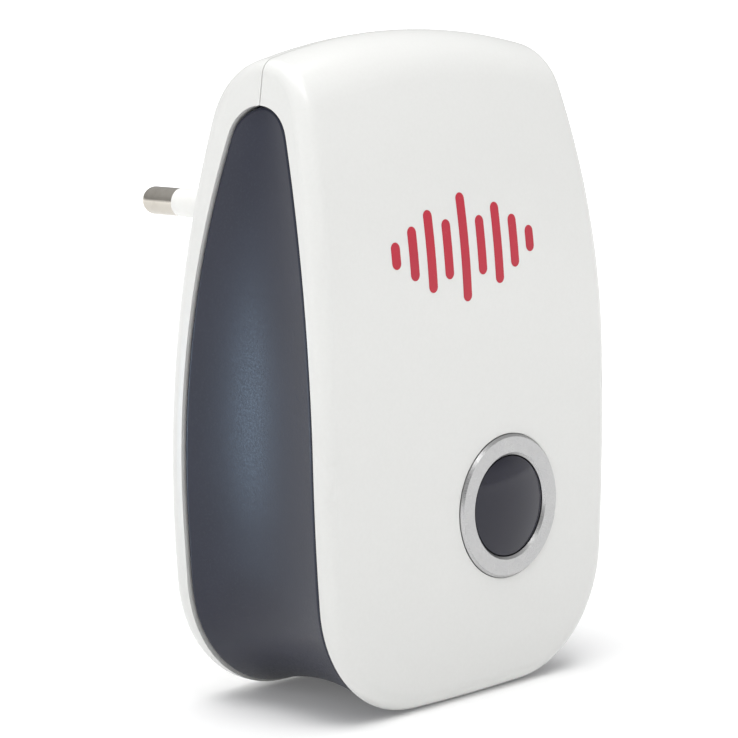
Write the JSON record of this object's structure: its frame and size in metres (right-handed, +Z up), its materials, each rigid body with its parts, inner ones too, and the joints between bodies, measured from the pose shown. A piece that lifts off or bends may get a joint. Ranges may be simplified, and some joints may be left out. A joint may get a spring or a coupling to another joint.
{
  "type": "ultrasonic pest repeller",
  "caption": "Plug-in ultrasonic pest repeller with crowned white covers, a waisted dark band, a lit push button in a silver ring and a round-pin plug.",
  "frame": {"origin": "midway between the two plug pins, on the face of the plug plinth that meets the socket", "axes": "+Y along the pins into the wall, +Z up along the case's height, +X to the right seen from the front"},
  "size_m": [0.0582, 0.0541, 0.0906],
  "materials": {
    "white_shell": "glossy moulded ABS",
    "smoked_band": "satin dark slate-blue plastic",
    "silver_ring": "satin with bright chamfers",
    "dark_lens": "polished dark navy",
    "black_plastic": "moulded black",
    "spring_steel": "drawn wire",
    "circuit_board": "green solder mask",
    "transducer_metal": "pressed aluminium",
    "brass": "plain",
    "foam_rubber": "closed-cell foam",
    "black_cloth": "open weave",
    "yellow_box": "potted box",
    "capacitor_sleeve": "shrink sleeve",
    "ferrite": "sintered ferrite",
    "copper_wire": "enamelled copper wire",
    "resistor_coat": "flameproof coating",
    "led_epoxy": "tinted epoxy",
    "nickel_pin": "nickel-plated brass",
    "white_sleeve": "satin insulating sleeve",
    "clamp_plastic": "moulded nylon",
    "screw_steel": "zinc-plated",
    "brown_insulation": "PVC insulation",
    "blue_insulation": "PVC insulation",
    "red_insulation": "PVC insulation",
    "label_film": "blank satin silver film"
  },
  "bodies": {
    "housing": {"front_cover": "white_shell", "rear_cover": "white_shell", "smoked_band": "smoked_band", "trim_ring": "silver_ring", "switch_body": "black_plastic", "switch_spring": "spring_steel", "main_board": "circuit_board", "transducer_case": "transducer_metal", "transducer_cone": "transducer_metal", "piezo_disc": "brass", "transducer_gasket": "foam_rubber", "dust_cloth": "black_cloth", "film_capacitor": "yellow_box", "electrolytic_capacitors": "capacitor_sleeve", "rectifier_diodes": "black_plastic", "inductor_core": "ferrite", "inductor_winding": "copper_wire", "control_chip": "black_plastic", "fuse_resistor": "resistor_coat", "indicator_leds": "led_epoxy", "left_pin": "nickel_pin", "right_pin": "nickel_pin", "left_pin_sleeve": "white_sleeve", "right_pin_sleeve": "white_sleeve", "pin_clamp": "clamp_plastic", "clamp_screws": "screw_steel", "case_screws": "screw_steel", "board_screws": "screw_steel", "live_wire": "brown_insulation", "neutral_wire": "blue_insulation", "transducer_wires": "red_insulation", "rating_label": "label_film"},
    "button": {"button_lens": "dark_lens", "switch_plunger": "black_plastic"}
  },
  "joints": [
    {"name": "button_press", "type": "slide", "parent": "housing", "child": "button", "axis": [0, 1, 0], "range_m": [0, 0.0012], "stiffness_N_per_m": 400, "springref_m": -0.0008, "deforming": ["switch_spring"]}
  ]
}
